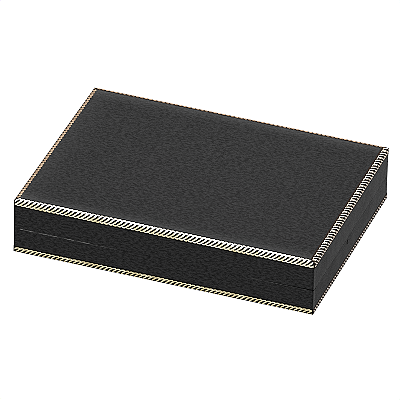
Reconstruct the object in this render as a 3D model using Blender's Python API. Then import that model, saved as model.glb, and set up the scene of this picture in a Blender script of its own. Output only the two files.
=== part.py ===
"""A necklace box: a leatherette covered case with gold rope edging, and a lid on two snap hinges.

Metres, +Z up. The origin is at the middle of the underside, the front faces -Y, and the lid is
closed. An inset is how far a face lies inside the overall outline of the box, which the rope
edging has. Run it with blender --background --python part.py, or from Blender's text editor.
"""

import math
from dataclasses import dataclass

import bmesh
import bpy
from mathutils import Matrix

# Overall size, over the rope edging
BOX_WIDTH = 0.184
BOX_DEPTH = 0.1335
BOX_HEIGHT = 0.0354
SEAM_HEIGHT = 0.0166
CORNER_RADIUS = 0.0007
CORNER_LEAST = 0.0003
CORNER_STEPS = 3

# Clearances
SEAT_GAP = 0.0003
SEAM_GAP = 0.0003
CUT_OVERRUN = 0.001

# Leatherette covers and rope edging, a tape folded over each edge
COVER_THICK = 0.0005
ROPE_PROUD = 0.0001
ROPE_TAPE = 0.0072
ROPE_UNDER_BASE = 0.0036
ROPE_ON_LID_FRONT = 0.0036
ROPE_ON_LID_RIGHT = 0.0036
ROPE_ON_LID_BACK = 0.0015
ROPE_ON_LID_LEFT = 0.002
SHEET_PROUD = 0.00015

# Moulded shells
SHELL_WALL = 0.002
SHELL_PLATE = 0.002

# Side linings
LINING_THICK = 0.0007
LINING_DROP = 0.0003

# Velvet necklace pad in the base
PAD_CLEARANCE = 0.0006
PAD_HEIGHT = 0.0063
PAD_CROWN = 0.0008
PAD_ROLL = 0.0016
PAD_DRAW_IN = 0.0008
PAD_COVER = 0.0005
PAD_BOARD = 0.001
PAD_MARGIN = 0.009

# Satin cushion in the lid
CUSHION_CLEARANCE = 0.0008
CUSHION_HEIGHT = 0.0068
CUSHION_CROWN = 0.0024
CUSHION_ROLL = 0.0012
CUSHION_DRAW_IN = 0.0012
CUSHION_COVER = 0.0004
CUSHION_BOARD = 0.001
CUSHION_MARGIN = 0.009

# Both pads: how the top is divided, and how sharply its edge rolls over
PAD_COLUMNS = 18
PAD_ROWS = 14
ROLL_POWER = 8

# Snap hinges
HINGE_OFFSET = 0.052
HINGE_WIDTH = 0.016
KNUCKLE_RADIUS = 0.0013
KNUCKLE_LENGTH = 0.004
KNUCKLE_GAP = 0.0004
KNUCKLE_STEPS = 16
CAM_FLAT = 0.0011
PIN_RADIUS = 0.0005
PIN_CLEARANCE = 0.0003
PIN_OVERHANG = 0.0004
LEAF_THICK = 0.0007
LEAF_HEIGHT = 0.008
SPRING_THICK = 0.0004
SPRING_WIDTH = 0.0046
SPRING_HEIGHT = 0.0066
SPRING_REACH = 0.0003
NOTCH_SIDE_GAP = 0.0008

# Rivets through the hinge leaves
RIVET_RADIUS = 0.0006
RIVET_HEAD_RADIUS = 0.0012
RIVET_HEAD_HEIGHT = 0.0005
RIVET_BITE = 0.0013
RIVET_DROP = 0.0048
RIVET_FROM_SIDE = 0.0028
RIVET_SIDES = 12
DOME_STEPS = 3
DOME_TOP_ANGLE = math.radians(78)

# Necklace straps and their press studs
STRAP_OFFSET = 0.034
STRAP_FROM_EDGE = 0.01825
STRAP_LENGTH = 0.0135
STRAP_WIDTH = 0.0095
STRAP_THICK = 0.001
STRAP_FLAT = 0.0015
STRAP_SLOPE = 0.003
STRAP_TIP_RADIUS = 0.0035
STRAP_ARC_STEPS = 5
STUD_FROM_TIP = 0.0042
STUD_DISC_RADIUS = 0.0024
STUD_DISC_HEIGHT = 0.0004
STUD_POST_RADIUS = 0.001
STUD_POST_HEIGHT = 0.001
STUD_WAIST_RADIUS = 0.0008
STUD_WAIST_HEIGHT = 0.0005
CAP_RADIUS = 0.003
CAP_HEIGHT = 0.0009
CAP_RIM = 0.0002
CAP_SHANK_RADIUS = 0.0008
CAP_FLANGE_RADIUS = 0.0024
CAP_FLANGE_HEIGHT = 0.0012
CAP_SOCKET_DEPTH = 0.001
STUD_SIDES = 24
ROUND_PROFILE_SHARE = 0.5

# Pull ribbon at the front of the pad
RIBBON_WIDTH = 0.009
RIBBON_THICK = 0.0004
RIBBON_REACH = 0.014
RIBBON_STEPS = 10

# Colour, roughness and metallic value of each finish
LEATHERETTE = ((0.030, 0.030, 0.032), 0.62, 0.0)
UNDERSIDE_PAPER = ((0.022, 0.022, 0.024), 0.95, 0.0)
GOLD_FOIL = ((0.93, 0.80, 0.50), 0.30, 1.0)
BLACK_PLASTIC = ((0.020, 0.020, 0.021), 0.45, 0.0)
BLACK_VELVET = ((0.012, 0.012, 0.014), 0.98, 0.0)
WHITE_SATIN = ((0.86, 0.83, 0.76), 0.35, 0.0)
GREY_BOARD = ((0.42, 0.38, 0.32), 0.90, 0.0)
WHITE_FOAM = ((0.80, 0.80, 0.76), 0.95, 0.0)
BRASS = ((0.83, 0.62, 0.28), 0.28, 1.0)
SPRING_STEEL = ((0.60, 0.60, 0.62), 0.30, 1.0)
BLACK_RIBBON = ((0.015, 0.015, 0.016), 0.40, 0.0)
SMOOTH_ANGLE = math.radians(35)

# Insets of the wall's layers, from the outside in
ROPE_THICK = COVER_THICK + ROPE_PROUD
SHELL_OUTER = ROPE_THICK + SEAT_GAP
SHELL_INNER = SHELL_OUTER + SHELL_WALL
LINING_BACK = SHELL_INNER + SEAT_GAP
LINING_FACE = LINING_BACK + LINING_THICK
LEAF_BACK = SHELL_INNER + SEAT_GAP
LEAF_FACE = LEAF_BACK + LEAF_THICK
SPRING_BACK = LEAF_FACE + SEAT_GAP
SPRING_FACE = SPRING_BACK + SPRING_THICK

# Levels, from the underside up
SHEET_THICK = SHEET_PROUD + ROPE_THICK
FLOOR_BOTTOM = SHEET_THICK + SEAT_GAP
FLOOR_TOP = FLOOR_BOTTOM + SHELL_PLATE
BASE_RIM = SEAM_HEIGHT - SEAM_GAP / 2
BASE_SHELL_TOP = BASE_RIM - COVER_THICK - SEAT_GAP
LID_RIM = SEAM_HEIGHT + SEAM_GAP / 2
LID_SHELL_BOTTOM = LID_RIM + COVER_THICK + SEAT_GAP
LID_FACE = BOX_HEIGHT - ROPE_PROUD
LID_SHELL_TOP = BOX_HEIGHT - ROPE_THICK - SEAT_GAP
CEILING = LID_SHELL_TOP - SHELL_PLATE

# Edges of the leatherette covers, where the edging begins
BASE_COVER_EDGE = SHEET_PROUD + ROPE_TAPE - ROPE_UNDER_BASE + SEAT_GAP
MITRE_SET = SEAT_GAP / math.sqrt(2)

# Depth of the notches that the knuckles turn in, below and above the seam
BASE_NOTCH = KNUCKLE_RADIUS + SPRING_THICK + 2 * SEAT_GAP
LID_NOTCH = KNUCKLE_RADIUS + SEAT_GAP
NOTCH_WIDTH = HINGE_WIDTH + 2 * NOTCH_SIDE_GAP
CAM_LENGTH = HINGE_WIDTH - 2 * (KNUCKLE_LENGTH + KNUCKLE_GAP)

SIDES = (("left", -1), ("right", 1))
ALONG_X = (0, math.pi / 2, 0)


@dataclass
class Wall:
    """A wall of the box, described as the front wall that is then turned to its place.

    On_lid is how much of the edging's tape lies on top of the lid there, and on_wall the rest.
    """

    name: str
    length: float
    across: float
    turn: float
    on_lid: float

    @property
    def on_wall(self):
        return ROPE_TAPE - self.on_lid


WALLS = (
    Wall("front", BOX_WIDTH, BOX_DEPTH, 0, ROPE_ON_LID_FRONT),
    Wall("right", BOX_DEPTH, BOX_WIDTH, math.pi / 2, ROPE_ON_LID_RIGHT),
    Wall("back", BOX_WIDTH, BOX_DEPTH, math.pi, ROPE_ON_LID_BACK),
    Wall("left", BOX_DEPTH, BOX_WIDTH, -math.pi / 2, ROPE_ON_LID_LEFT),
)
LID_COVER_EDGE = BOX_HEIGHT - min(wall.on_wall for wall in WALLS) - SEAT_GAP


@dataclass
class Pad:
    """A crowned pad: a cover drawn round a core and a board, its board side at height zero."""

    half_width: float
    half_depth: float
    height: float
    crown: float
    roll: float
    draw_in: float
    cover: float
    board: float
    margin: float


NECKLACE_PAD = Pad(
    BOX_WIDTH / 2 - LINING_FACE - PAD_CLEARANCE,
    BOX_DEPTH / 2 - LINING_FACE - PAD_CLEARANCE,
    PAD_HEIGHT,
    PAD_CROWN,
    PAD_ROLL,
    PAD_DRAW_IN,
    PAD_COVER,
    PAD_BOARD,
    PAD_MARGIN,
)
LID_CUSHION = Pad(
    BOX_WIDTH / 2 - LINING_FACE - CUSHION_CLEARANCE,
    BOX_DEPTH / 2 - LINING_FACE - CUSHION_CLEARANCE,
    CUSHION_HEIGHT,
    CUSHION_CROWN,
    CUSHION_ROLL,
    CUSHION_DRAW_IN,
    CUSHION_COVER,
    CUSHION_BOARD,
    CUSHION_MARGIN,
)
PAD_SEAT = FLOOR_TOP + SEAT_GAP
CUSHION_SEAT = CEILING - SEAT_GAP


# Making objects


def clear_scene():
    for old in list(bpy.data.objects):
        bpy.data.objects.remove(old)


def pivot(name, place):
    """An empty on a joint's axis, which the pieces that turn there are parented to."""
    empty = bpy.data.objects.new(name, None)
    empty.location = place
    bpy.context.scene.collection.objects.link(empty)
    return empty


def place_mesh(name, bm, place, turn, parent):
    bmesh.ops.recalc_face_normals(bm, faces=bm.faces)
    mesh = bpy.data.meshes.new(name)
    bm.to_mesh(mesh)
    bm.free()
    obj = bpy.data.objects.new(name, mesh)
    obj.location = place
    obj.rotation_euler = turn
    bpy.context.scene.collection.objects.link(obj)
    if parent:
        obj.parent = parent
        obj.matrix_parent_inverse = Matrix.Translation(-parent.location)
    return obj


def finish(obj, look):
    """Gives the object its own material from a look: colour, roughness and metallic value."""
    colour, roughness, metallic = look
    material = bpy.data.materials.new(obj.name)
    material.use_nodes = True
    shader = material.node_tree.nodes["Principled BSDF"]
    shader.inputs["Base Color"].default_value = (*colour, 1)
    shader.inputs["Roughness"].default_value = roughness
    shader.inputs["Metallic"].default_value = metallic
    obj.data.materials.append(material)


def piece(name, bm, look, place=(0, 0, 0), turn=(0, 0, 0), parent=None):
    """A sub-part of the box, made of that mesh."""
    obj = place_mesh(name, bm, place, turn, parent)
    obj.data.shade_smooth()
    obj.data.set_sharp_from_angle(angle=SMOOTH_ANGLE)
    finish(obj, look)
    return obj


def tool(name, bm, place=(0, 0, 0), turn=(0, 0, 0), parent=None):
    """A guide that a Boolean uses. It isn't a sub-part."""
    obj = place_mesh(name, bm, place, turn, parent)
    obj.hide_render = True
    obj.display_type = "WIRE"
    return obj


def combine(target, operation, other):
    modifier = target.modifiers.new(other.name, "BOOLEAN")
    modifier.operation = operation
    modifier.object = other


# Meshes


def loft(rings, closed=False):
    """A mesh through rings of points. It is capped at both ends, or closed into a ring."""
    bm = bmesh.new()
    loops = [[bm.verts.new(point) for point in ring] for ring in rings]
    following = loops[1:] + loops[:1] if closed else loops[1:]
    for loop, other in zip(loops, following):
        join_loops(bm, loop, other)
    if not closed:
        bm.faces.new(loops[0])
        bm.faces.new(loops[-1])
    return bm


def join_loops(bm, loop, other):
    for i in range(len(loop)):
        after = (i + 1) % len(loop)
        bm.faces.new((loop[i], loop[after], other[after], other[i]))


def block(low, high):
    """A block between its lowest and highest corners."""
    outline = [(low[0], low[1]), (high[0], low[1]), (high[0], high[1]), (low[0], high[1])]
    return loft([[(x, y, height) for x, y in outline] for height in (low[2], high[2])])


def extruded(outline, width):
    """An outline of (y, z) points made into a solid of that width along X."""
    return loft([[(x, y, z) for y, z in outline] for x in (-width / 2, width / 2)])


def turned(profile, sides):
    """A solid turned about Z from (radius, height) points, flat at both ends."""
    angles = [2 * math.pi * side / sides for side in range(sides)]
    return loft(
        [
            [(radius * math.cos(a), radius * math.sin(a), height) for a in angles]
            for radius, height in profile
        ]
    )


def box_loop(inset, height):
    """The outline of the box, drawn in by inset, at that height."""
    radius = max(CORNER_RADIUS - inset, CORNER_LEAST)
    reach_x = BOX_WIDTH / 2 - inset - radius
    reach_y = BOX_DEPTH / 2 - inset - radius
    points = []
    for quarter, (side_x, side_y) in enumerate(((1, 1), (-1, 1), (-1, -1), (1, -1))):
        for step in range(CORNER_STEPS + 1):
            angle = (quarter + step / CORNER_STEPS) * math.pi / 2
            x = side_x * reach_x + radius * math.cos(angle)
            y = side_y * reach_y + radius * math.sin(angle)
            points.append((x, y, height))
    return points


def box_loft(section, closed=False):
    """A tray or a ring whose section is a list of (inset, height) points."""
    return loft([box_loop(inset, height) for inset, height in section], closed)


# Shells, covers, linings and rope edging


def make_base_shell():
    section = (
        (SHELL_OUTER, FLOOR_BOTTOM),
        (SHELL_OUTER, BASE_SHELL_TOP),
        (SHELL_INNER, BASE_SHELL_TOP),
        (SHELL_INNER, FLOOR_TOP),
    )
    return piece("base_shell", box_loft(section), BLACK_PLASTIC)


def make_lid_shell(lid):
    section = (
        (SHELL_OUTER, LID_SHELL_TOP),
        (SHELL_OUTER, LID_SHELL_BOTTOM),
        (SHELL_INNER, LID_SHELL_BOTTOM),
        (SHELL_INNER, CEILING),
    )
    return piece("lid_shell", box_loft(section), BLACK_PLASTIC, parent=lid)


def side_cover_section(edge, rim, turn_in):
    """Leatherette up a wall from its rope edge to the rim, and turned in over the rim."""
    return (
        (ROPE_PROUD, edge),
        (ROPE_PROUD, rim),
        (SHELL_INNER, rim),
        (SHELL_INNER, turn_in),
        (ROPE_THICK, turn_in),
        (ROPE_THICK, edge),
    )


def make_base_side_cover():
    section = side_cover_section(BASE_COVER_EDGE, BASE_RIM, BASE_RIM - COVER_THICK)
    return piece("base_side_cover", box_loft(section, closed=True), LEATHERETTE)


def make_lid_side_cover(lid):
    section = side_cover_section(LID_COVER_EDGE, LID_RIM, LID_RIM + COVER_THICK)
    cover = piece("lid_side_cover", box_loft(section, closed=True), LEATHERETTE, parent=lid)
    for index, wall in enumerate(WALLS):
        low = BOX_HEIGHT - wall.on_wall - SEAT_GAP
        if low < LID_COVER_EDGE - SEAT_GAP:
            room = tape_room(wall, mitre_slopes(index), low)
            name = f"lid_side_cover_{wall.name}"
            combine(cover, "DIFFERENCE", tool(name, room, turn=(0, 0, wall.turn), parent=lid))
    return cover


def tape_room(wall, slopes, low):
    """Room in the lid's side cover for the tape that comes further down that wall."""
    outer, inner = -CUT_OVERRUN, ROPE_THICK + SEAT_GAP
    top = LID_COVER_EDGE + CUT_OVERRUN
    section = ((outer, top), (outer, low), (inner, low), (inner, top))
    return mitred(section, wall, slopes, -MITRE_SET)


def make_lid_top_cover(lid):
    front, right, back, left = (wall.on_lid + SEAT_GAP for wall in WALLS)
    low = (left - BOX_WIDTH / 2, front - BOX_DEPTH / 2, LID_FACE - COVER_THICK)
    high = (BOX_WIDTH / 2 - right, BOX_DEPTH / 2 - back, LID_FACE)
    piece("lid_top_cover", block(low, high), LEATHERETTE, parent=lid)


def make_underside_sheet():
    inset = ROPE_UNDER_BASE + SEAT_GAP
    section = ((inset, 0), (inset, SHEET_THICK))
    piece("underside_sheet", box_loft(section), UNDERSIDE_PAPER)


def lining_section(low, high):
    return (
        (LINING_BACK, low),
        (LINING_BACK, high),
        (LINING_FACE, high),
        (LINING_FACE, low),
    )


def make_base_lining():
    section = lining_section(FLOOR_TOP + SEAT_GAP, BASE_RIM - LINING_DROP)
    return piece("base_lining", box_loft(section, closed=True), BLACK_VELVET)


def make_lid_lining(lid):
    section = lining_section(LID_RIM + LINING_DROP, CEILING - SEAT_GAP)
    bm = box_loft(section, closed=True)
    return piece("lid_lining", bm, WHITE_SATIN, parent=lid)


def rope_section(edge, inward, on_flat):
    """The (inset, height) points of a tape folded over an edge; inward is 1 if the wall is above.

    On_flat is how much of the tape lies on the flat face.
    """
    on_wall = ROPE_TAPE - on_flat
    return (
        (0, edge),
        (0, edge + inward * on_wall),
        (ROPE_THICK, edge + inward * on_wall),
        (ROPE_THICK, edge + inward * ROPE_THICK),
        (on_flat, edge + inward * ROPE_THICK),
        (on_flat, edge),
    )


def mitre_slopes(index):
    """How fast a wall's tape draws in at its two ends, to meet the tapes round the corners."""
    wall, before, after = WALLS[index], WALLS[index - 1], WALLS[(index + 1) % len(WALLS)]
    return before.on_lid / wall.on_lid, after.on_lid / wall.on_lid


def mitred(section, wall, slopes, set_back):
    """A section of (inset, height) points along a wall, mitred at both corners."""
    rings = []
    for side, slope in zip((-1, 1), slopes):
        reach = wall.length / 2 - set_back
        ring = [(side * (reach - slope * x), x - wall.across / 2, z) for x, z in section]
        rings.append(ring)
    return loft(rings)


def make_rope_edging(lid):
    for index, wall in enumerate(WALLS):
        turn = (0, 0, wall.turn)
        section = rope_section(BOX_HEIGHT, -1, wall.on_lid)
        upper = mitred(section, wall, mitre_slopes(index), MITRE_SET)
        piece(f"lid_rope_{wall.name}", upper, GOLD_FOIL, turn=turn, parent=lid)
        lower = mitred(rope_section(SHEET_PROUD, 1, ROPE_UNDER_BASE), wall, (1, 1), MITRE_SET)
        piece(f"base_rope_{wall.name}", lower, GOLD_FOIL, turn=turn)


# Pads


def pad_top(pad, across, along):
    """Height of a pad's face at shares, from -1 to 1, of its half width and half depth."""
    crown_share = (1 - across**2) * (1 - along**2)
    edge_share = (1 - abs(across) ** ROLL_POWER) * (1 - abs(along) ** ROLL_POWER)
    drop = pad.crown * (1 - crown_share) + pad.roll * (1 - math.sqrt(max(edge_share, 0)))
    return pad.height - drop


def spaced_shares(count):
    """Shares from -1 to 1 that lie closer together towards the edges."""
    return [math.sin(math.pi / 2 * (2 * i / count - 1)) for i in range(count + 1)]


def pad_surface(bm, pad, depth, low):
    """The face and sides of a pad, depth inside its outer surface. Returns the lowest loop."""
    across, along = spaced_shares(PAD_COLUMNS), spaced_shares(PAD_ROWS)
    grid = []
    for t in along:
        row = []
        for s in across:
            x = s * (pad.half_width - depth - pad.draw_in * (1 - t**2))
            y = t * (pad.half_depth - depth - pad.draw_in * (1 - s**2))
            row.append(bm.verts.new((x, y, pad_top(pad, s, t) - depth)))
        grid.append(row)
    for row, behind in zip(grid, grid[1:]):
        for i in range(PAD_COLUMNS):
            bm.faces.new((row[i], row[i + 1], behind[i + 1], behind[i]))
    right = [row[-1] for row in grid[1:]]
    left = [row[0] for row in grid[1:-1]]
    border = grid[0] + right + grid[-1][-2::-1] + left[::-1]
    lowest = [bm.verts.new((v.co.x, v.co.y, low)) for v in border]
    join_loops(bm, border, lowest)
    return lowest


def margin_loop(bm, pad, loop):
    """Carries a loop inwards over the back of the board, as far as the cover's margin."""
    share_x, share_y = 1 - pad.margin / pad.half_width, 1 - pad.margin / pad.half_depth
    inner = [bm.verts.new((v.co.x * share_x, v.co.y * share_y, v.co.z)) for v in loop]
    join_loops(bm, loop, inner)
    return inner


def pad_cover(pad):
    bm = bmesh.new()
    outer = margin_loop(bm, pad, pad_surface(bm, pad, 0, 0))
    inner = margin_loop(bm, pad, pad_surface(bm, pad, pad.cover, pad.cover))
    join_loops(bm, outer, inner)
    return bm


def pad_board(pad):
    inset = pad.cover + pad.draw_in + SEAT_GAP
    half_x, half_y = pad.half_width - inset, pad.half_depth - inset
    low = pad.cover + SEAT_GAP
    return block((-half_x, -half_y, low), (half_x, half_y, low + pad.board))


def pad_core(pad):
    bm = bmesh.new()
    low = pad.cover + pad.board + 2 * SEAT_GAP
    bm.faces.new(pad_surface(bm, pad, pad.cover + SEAT_GAP, low))
    return bm


def make_necklace_pad():
    place = (0, 0, PAD_SEAT)
    piece("pad_velvet", pad_cover(NECKLACE_PAD), BLACK_VELVET, place)
    piece("pad_foam", pad_core(NECKLACE_PAD), WHITE_FOAM, place)
    piece("pad_board", pad_board(NECKLACE_PAD), GREY_BOARD, place)


def make_lid_cushion(lid):
    place, turn = (0, 0, CUSHION_SEAT), (math.pi, 0, 0)
    piece("lid_cushion_satin", pad_cover(LID_CUSHION), WHITE_SATIN, place, turn, lid)
    piece("lid_cushion_wadding", pad_core(LID_CUSHION), WHITE_FOAM, place, turn, lid)
    piece("lid_cushion_board", pad_board(LID_CUSHION), GREY_BOARD, place, turn, lid)


def make_pull_ribbon():
    """A tab that runs up between the pad and the front lining, and lies over the pad's edge."""
    pad = NECKLACE_PAD
    end_share = 1 - RIBBON_REACH / pad.half_depth
    layers = []
    for lift in (SEAT_GAP, SEAT_GAP + RIBBON_THICK):
        edge = pad.half_depth - pad.draw_in + lift
        layer = [(-edge, pad.cover)]
        for step in range(RIBBON_STEPS + 1):
            along = 1 - (1 - end_share) * (step / RIBBON_STEPS) ** 2
            layer.append((-edge * along, pad_top(pad, 0, along) + lift))
        layers.append(layer)
    outline = layers[0] + layers[1][::-1]
    piece("pull_ribbon", extruded(outline, RIBBON_WIDTH), BLACK_RIBBON, (0, 0, PAD_SEAT))


# Snap hinges


def knuckle(side, flat, length):
    """A knuckle round the hinge axis and its tongue into the box. Side is 1 above the seam.

    Flat is how far from the axis a cam is cut flat, or the radius where it stays round.
    """
    near = flat - LEAF_THICK
    middle = -(LEAF_BACK + LEAF_FACE) / 2
    start = math.pi - math.asin(near / KNUCKLE_RADIUS)
    sweep = 5 * math.pi / 2 - start
    outline = [(middle, side * near)]
    for step in range(KNUCKLE_STEPS + 1):
        angle = start + sweep * step / KNUCKLE_STEPS
        y = max(-flat, min(flat, KNUCKLE_RADIUS * math.cos(angle)))
        z = max(-flat, min(flat, KNUCKLE_RADIUS * math.sin(angle)))
        outline.append((y, side * z))
    outline.append((middle, side * flat))
    return extruded(outline, length)


def base_leaf_plate():
    """The base leaf's plate, with a window between its knuckles for the spring."""
    outer, inner = HINGE_WIDTH / 2, HINGE_WIDTH / 2 - KNUCKLE_LENGTH
    top = LEAF_THICK - KNUCKLE_RADIUS
    outline = (
        (-outer, -LEAF_HEIGHT),
        (outer, -LEAF_HEIGHT),
        (outer, top),
        (inner, top),
        (inner, -BASE_NOTCH),
        (-inner, -BASE_NOTCH),
        (-inner, top),
        (-outer, top),
    )
    return loft([[(x, y, z) for x, z in outline] for y in (-LEAF_FACE, -LEAF_BACK)])


def lid_leaf_plate():
    low = CAM_FLAT - LEAF_THICK
    return block(
        (-HINGE_WIDTH / 2, -LEAF_FACE, low),
        (HINGE_WIDTH / 2, -LEAF_BACK, LEAF_HEIGHT),
    )


def spring_outline():
    """Up the leaf's plate and out under the cam."""
    top = KNUCKLE_RADIUS + SEAT_GAP
    return (
        (-SPRING_FACE, -SPRING_HEIGHT),
        (-SPRING_BACK, -SPRING_HEIGHT),
        (-SPRING_BACK, -top - SPRING_THICK),
        (SPRING_REACH, -top - SPRING_THICK),
        (SPRING_REACH, -top),
        (-SPRING_FACE, -top),
    )


def rod(radius, length, sides):
    return turned([(radius, -length / 2), (radius, length / 2)], sides)


def dome(radius, base, height):
    """Points of a low dome, from its rim to a small flat at its top."""
    angles = [DOME_TOP_ANGLE * step / DOME_STEPS for step in range(DOME_STEPS + 1)]
    return [(radius * math.cos(a), base + height * math.sin(a)) for a in angles]


def rivet(name, place, seat, pierced, parent=None):
    """A rivet into the back wall, its head on the face at inset seat, and its hole."""
    tip = SHELL_INNER - RIVET_BITE
    head = seat + SEAT_GAP - tip
    profile = [(RIVET_RADIUS, 0), (RIVET_RADIUS, head)]
    profile += dome(RIVET_HEAD_RADIUS, head, RIVET_HEAD_HEIGHT)
    x, z = place
    inward = (math.pi / 2, 0, 0)
    start = (x, BOX_DEPTH / 2 - tip, z)
    piece(name, turned(profile, RIVET_SIDES), BRASS, start, inward, parent)
    radius = RIVET_RADIUS + SEAT_GAP
    mouth = SPRING_FACE + CUT_OVERRUN - tip
    bm = turned([(radius, -SEAT_GAP), (radius, mouth)], RIVET_SIDES)
    hole = tool(f"{name}_hole", bm, start, inward, parent)
    for target in pierced:
        combine(target, "DIFFERENCE", hole)


def cut_bore(leaf, name, place, parent=None):
    """The hole that the hinge pin runs in."""
    bm = rod(PIN_RADIUS + PIN_CLEARANCE, HINGE_WIDTH + 2 * CUT_OVERRUN, KNUCKLE_STEPS)
    combine(leaf, "DIFFERENCE", tool(name, bm, place, ALONG_X, parent))


def make_base_leaf(label, place):
    name = f"hinge_base_leaf_{label}"
    leaf = piece(name, base_leaf_plate(), BRASS, place)
    x, y, z = place
    offset = (HINGE_WIDTH - KNUCKLE_LENGTH) / 2
    for end, side in SIDES:
        bm = knuckle(-1, KNUCKLE_RADIUS, KNUCKLE_LENGTH)
        knuckle_tool = tool(f"{name}_{end}_knuckle", bm, (x + side * offset, y, z))
        combine(leaf, "UNION", knuckle_tool)
    cut_bore(leaf, f"{name}_bore", place)
    return leaf


def make_lid_leaf(label, place, lid):
    name = f"hinge_lid_leaf_{label}"
    leaf = piece(name, lid_leaf_plate(), BRASS, place, parent=lid)
    cam = tool(f"{name}_cam", knuckle(1, CAM_FLAT, CAM_LENGTH), place, parent=lid)
    combine(leaf, "UNION", cam)
    cut_bore(leaf, f"{name}_bore", place, lid)
    return leaf


def cut_for_hinge(name, place, walls, lining, levels, parent=None):
    """Opens the back wall round the knuckles, and the lining round the leaf.

    Levels are the notch's far edge and the leaf's far edge, from the seam.
    """
    notch_level, leaf_level = levels
    overrun = -math.copysign(CUT_OVERRUN, notch_level)
    half = NOTCH_WIDTH / 2
    inner = -LINING_FACE - CUT_OVERRUN
    notch_bm = block((-half, inner, overrun), (half, CUT_OVERRUN, notch_level))
    notch = tool(f"{name}_notch", notch_bm, place, parent=parent)
    for wall in walls:
        combine(wall, "DIFFERENCE", notch)
    opening_bm = block((-half, inner, overrun), (half, CUT_OVERRUN, leaf_level))
    opening = tool(f"{name}_opening", opening_bm, place, parent=parent)
    combine(lining, "DIFFERENCE", opening)


def make_hinge(label, x, base, lid_parts, lid):
    """One snap hinge. Base and lid_parts are each a shell, its side cover and its lining."""
    place = (x, BOX_DEPTH / 2, SEAM_HEIGHT)
    opening = LEAF_HEIGHT + SEAT_GAP
    base_levels, lid_levels = (-BASE_NOTCH, -opening), (LID_NOTCH, opening)
    base_shell, base_cover, base_lining = base
    lid_shell, lid_cover, lid_lining = lid_parts
    cut_for_hinge(f"base_{label}", place, (base_shell, base_cover), base_lining, base_levels)
    cut_for_hinge(f"lid_{label}", place, (lid_shell, lid_cover), lid_lining, lid_levels, lid)
    base_leaf = make_base_leaf(label, place)
    lid_leaf = make_lid_leaf(label, place, lid)
    pin = rod(PIN_RADIUS, HINGE_WIDTH + 2 * PIN_OVERHANG, KNUCKLE_STEPS)
    piece(f"hinge_pin_{label}", pin, SPRING_STEEL, place, ALONG_X)
    spring_bm = extruded(spring_outline(), SPRING_WIDTH)
    spring = piece(f"hinge_spring_{label}", spring_bm, SPRING_STEEL, place)
    low, high = SEAM_HEIGHT - RIVET_DROP, SEAM_HEIGHT + RIVET_DROP
    name = f"hinge_spring_rivet_{label}"
    rivet(name, (x, low), SPRING_FACE, (base_shell, base_leaf, spring))
    spread = HINGE_WIDTH / 2 - RIVET_FROM_SIDE
    for end, shift in (("a", -spread), ("b", spread)):
        name = f"hinge_base_rivet_{label}_{end}"
        rivet(name, (x + shift, low), LEAF_FACE, (base_shell, base_leaf))
        name = f"hinge_lid_rivet_{label}_{end}"
        rivet(name, (x + shift, high), LEAF_FACE, (lid_shell, lid_leaf), lid)


# Necklace straps


def strap_outline(rise):
    """Side view of a strap round its fold: forward along the pad, up, and over the stud."""
    half = STRAP_THICK / 2
    line = ((0, 0), (-STRAP_FLAT, 0), (-STRAP_FLAT - STRAP_SLOPE, rise), (-STRAP_LENGTH, rise))
    under = [(y, z - half) for y, z in line]
    over = [(y, z + half) for y, z in reversed(line)]
    fold = []
    for step in range(1, STRAP_ARC_STEPS):
        angle = math.pi / 2 - math.pi * step / STRAP_ARC_STEPS
        fold.append((half * math.cos(angle), half * math.sin(angle)))
    return under + over + fold


def round_strap_tip(bm):
    tip = [
        edge
        for edge in bm.edges
        if all(math.isclose(v.co.y, -STRAP_LENGTH, abs_tol=SEAT_GAP) for v in edge.verts)
        and math.isclose(edge.verts[0].co.x, edge.verts[1].co.x, abs_tol=SEAT_GAP)
    ]
    bmesh.ops.bevel(
        bm,
        geom=tip,
        offset=STRAP_TIP_RADIUS,
        segments=STRAP_ARC_STEPS,
        profile=ROUND_PROFILE_SHARE,
        affect="EDGES",
    )


def stud_profile():
    """A disc on the velvet, and the post that the cap snaps over."""
    waist_top = STUD_DISC_HEIGHT + STUD_WAIST_HEIGHT
    return [
        (STUD_DISC_RADIUS, 0),
        (STUD_DISC_RADIUS, STUD_DISC_HEIGHT),
        (STUD_WAIST_RADIUS, STUD_DISC_HEIGHT),
        (STUD_POST_RADIUS, waist_top),
        (STUD_POST_RADIUS, STUD_DISC_HEIGHT + STUD_POST_HEIGHT),
    ]


def cap_profile():
    """From the ceiling of the socket, round the flange and up the shank, to the dome."""
    socket = STUD_POST_RADIUS + SEAT_GAP
    seat = CAP_FLANGE_HEIGHT + STRAP_THICK + 2 * SEAT_GAP
    profile = [
        (socket, CAP_SOCKET_DEPTH),
        (socket, 0),
        (CAP_FLANGE_RADIUS, 0),
        (CAP_FLANGE_RADIUS, CAP_FLANGE_HEIGHT),
        (CAP_SHANK_RADIUS, CAP_FLANGE_HEIGHT),
        (CAP_SHANK_RADIUS, seat),
        (CAP_RADIUS, seat),
    ]
    return profile + dome(CAP_RADIUS, seat + CAP_RIM, CAP_HEIGHT - CAP_RIM)


def pad_face_height(x, y):
    """Height of the necklace pad's face in the box."""
    pad = NECKLACE_PAD
    return PAD_SEAT + pad_top(pad, x / pad.half_width, y / pad.half_depth)


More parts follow.
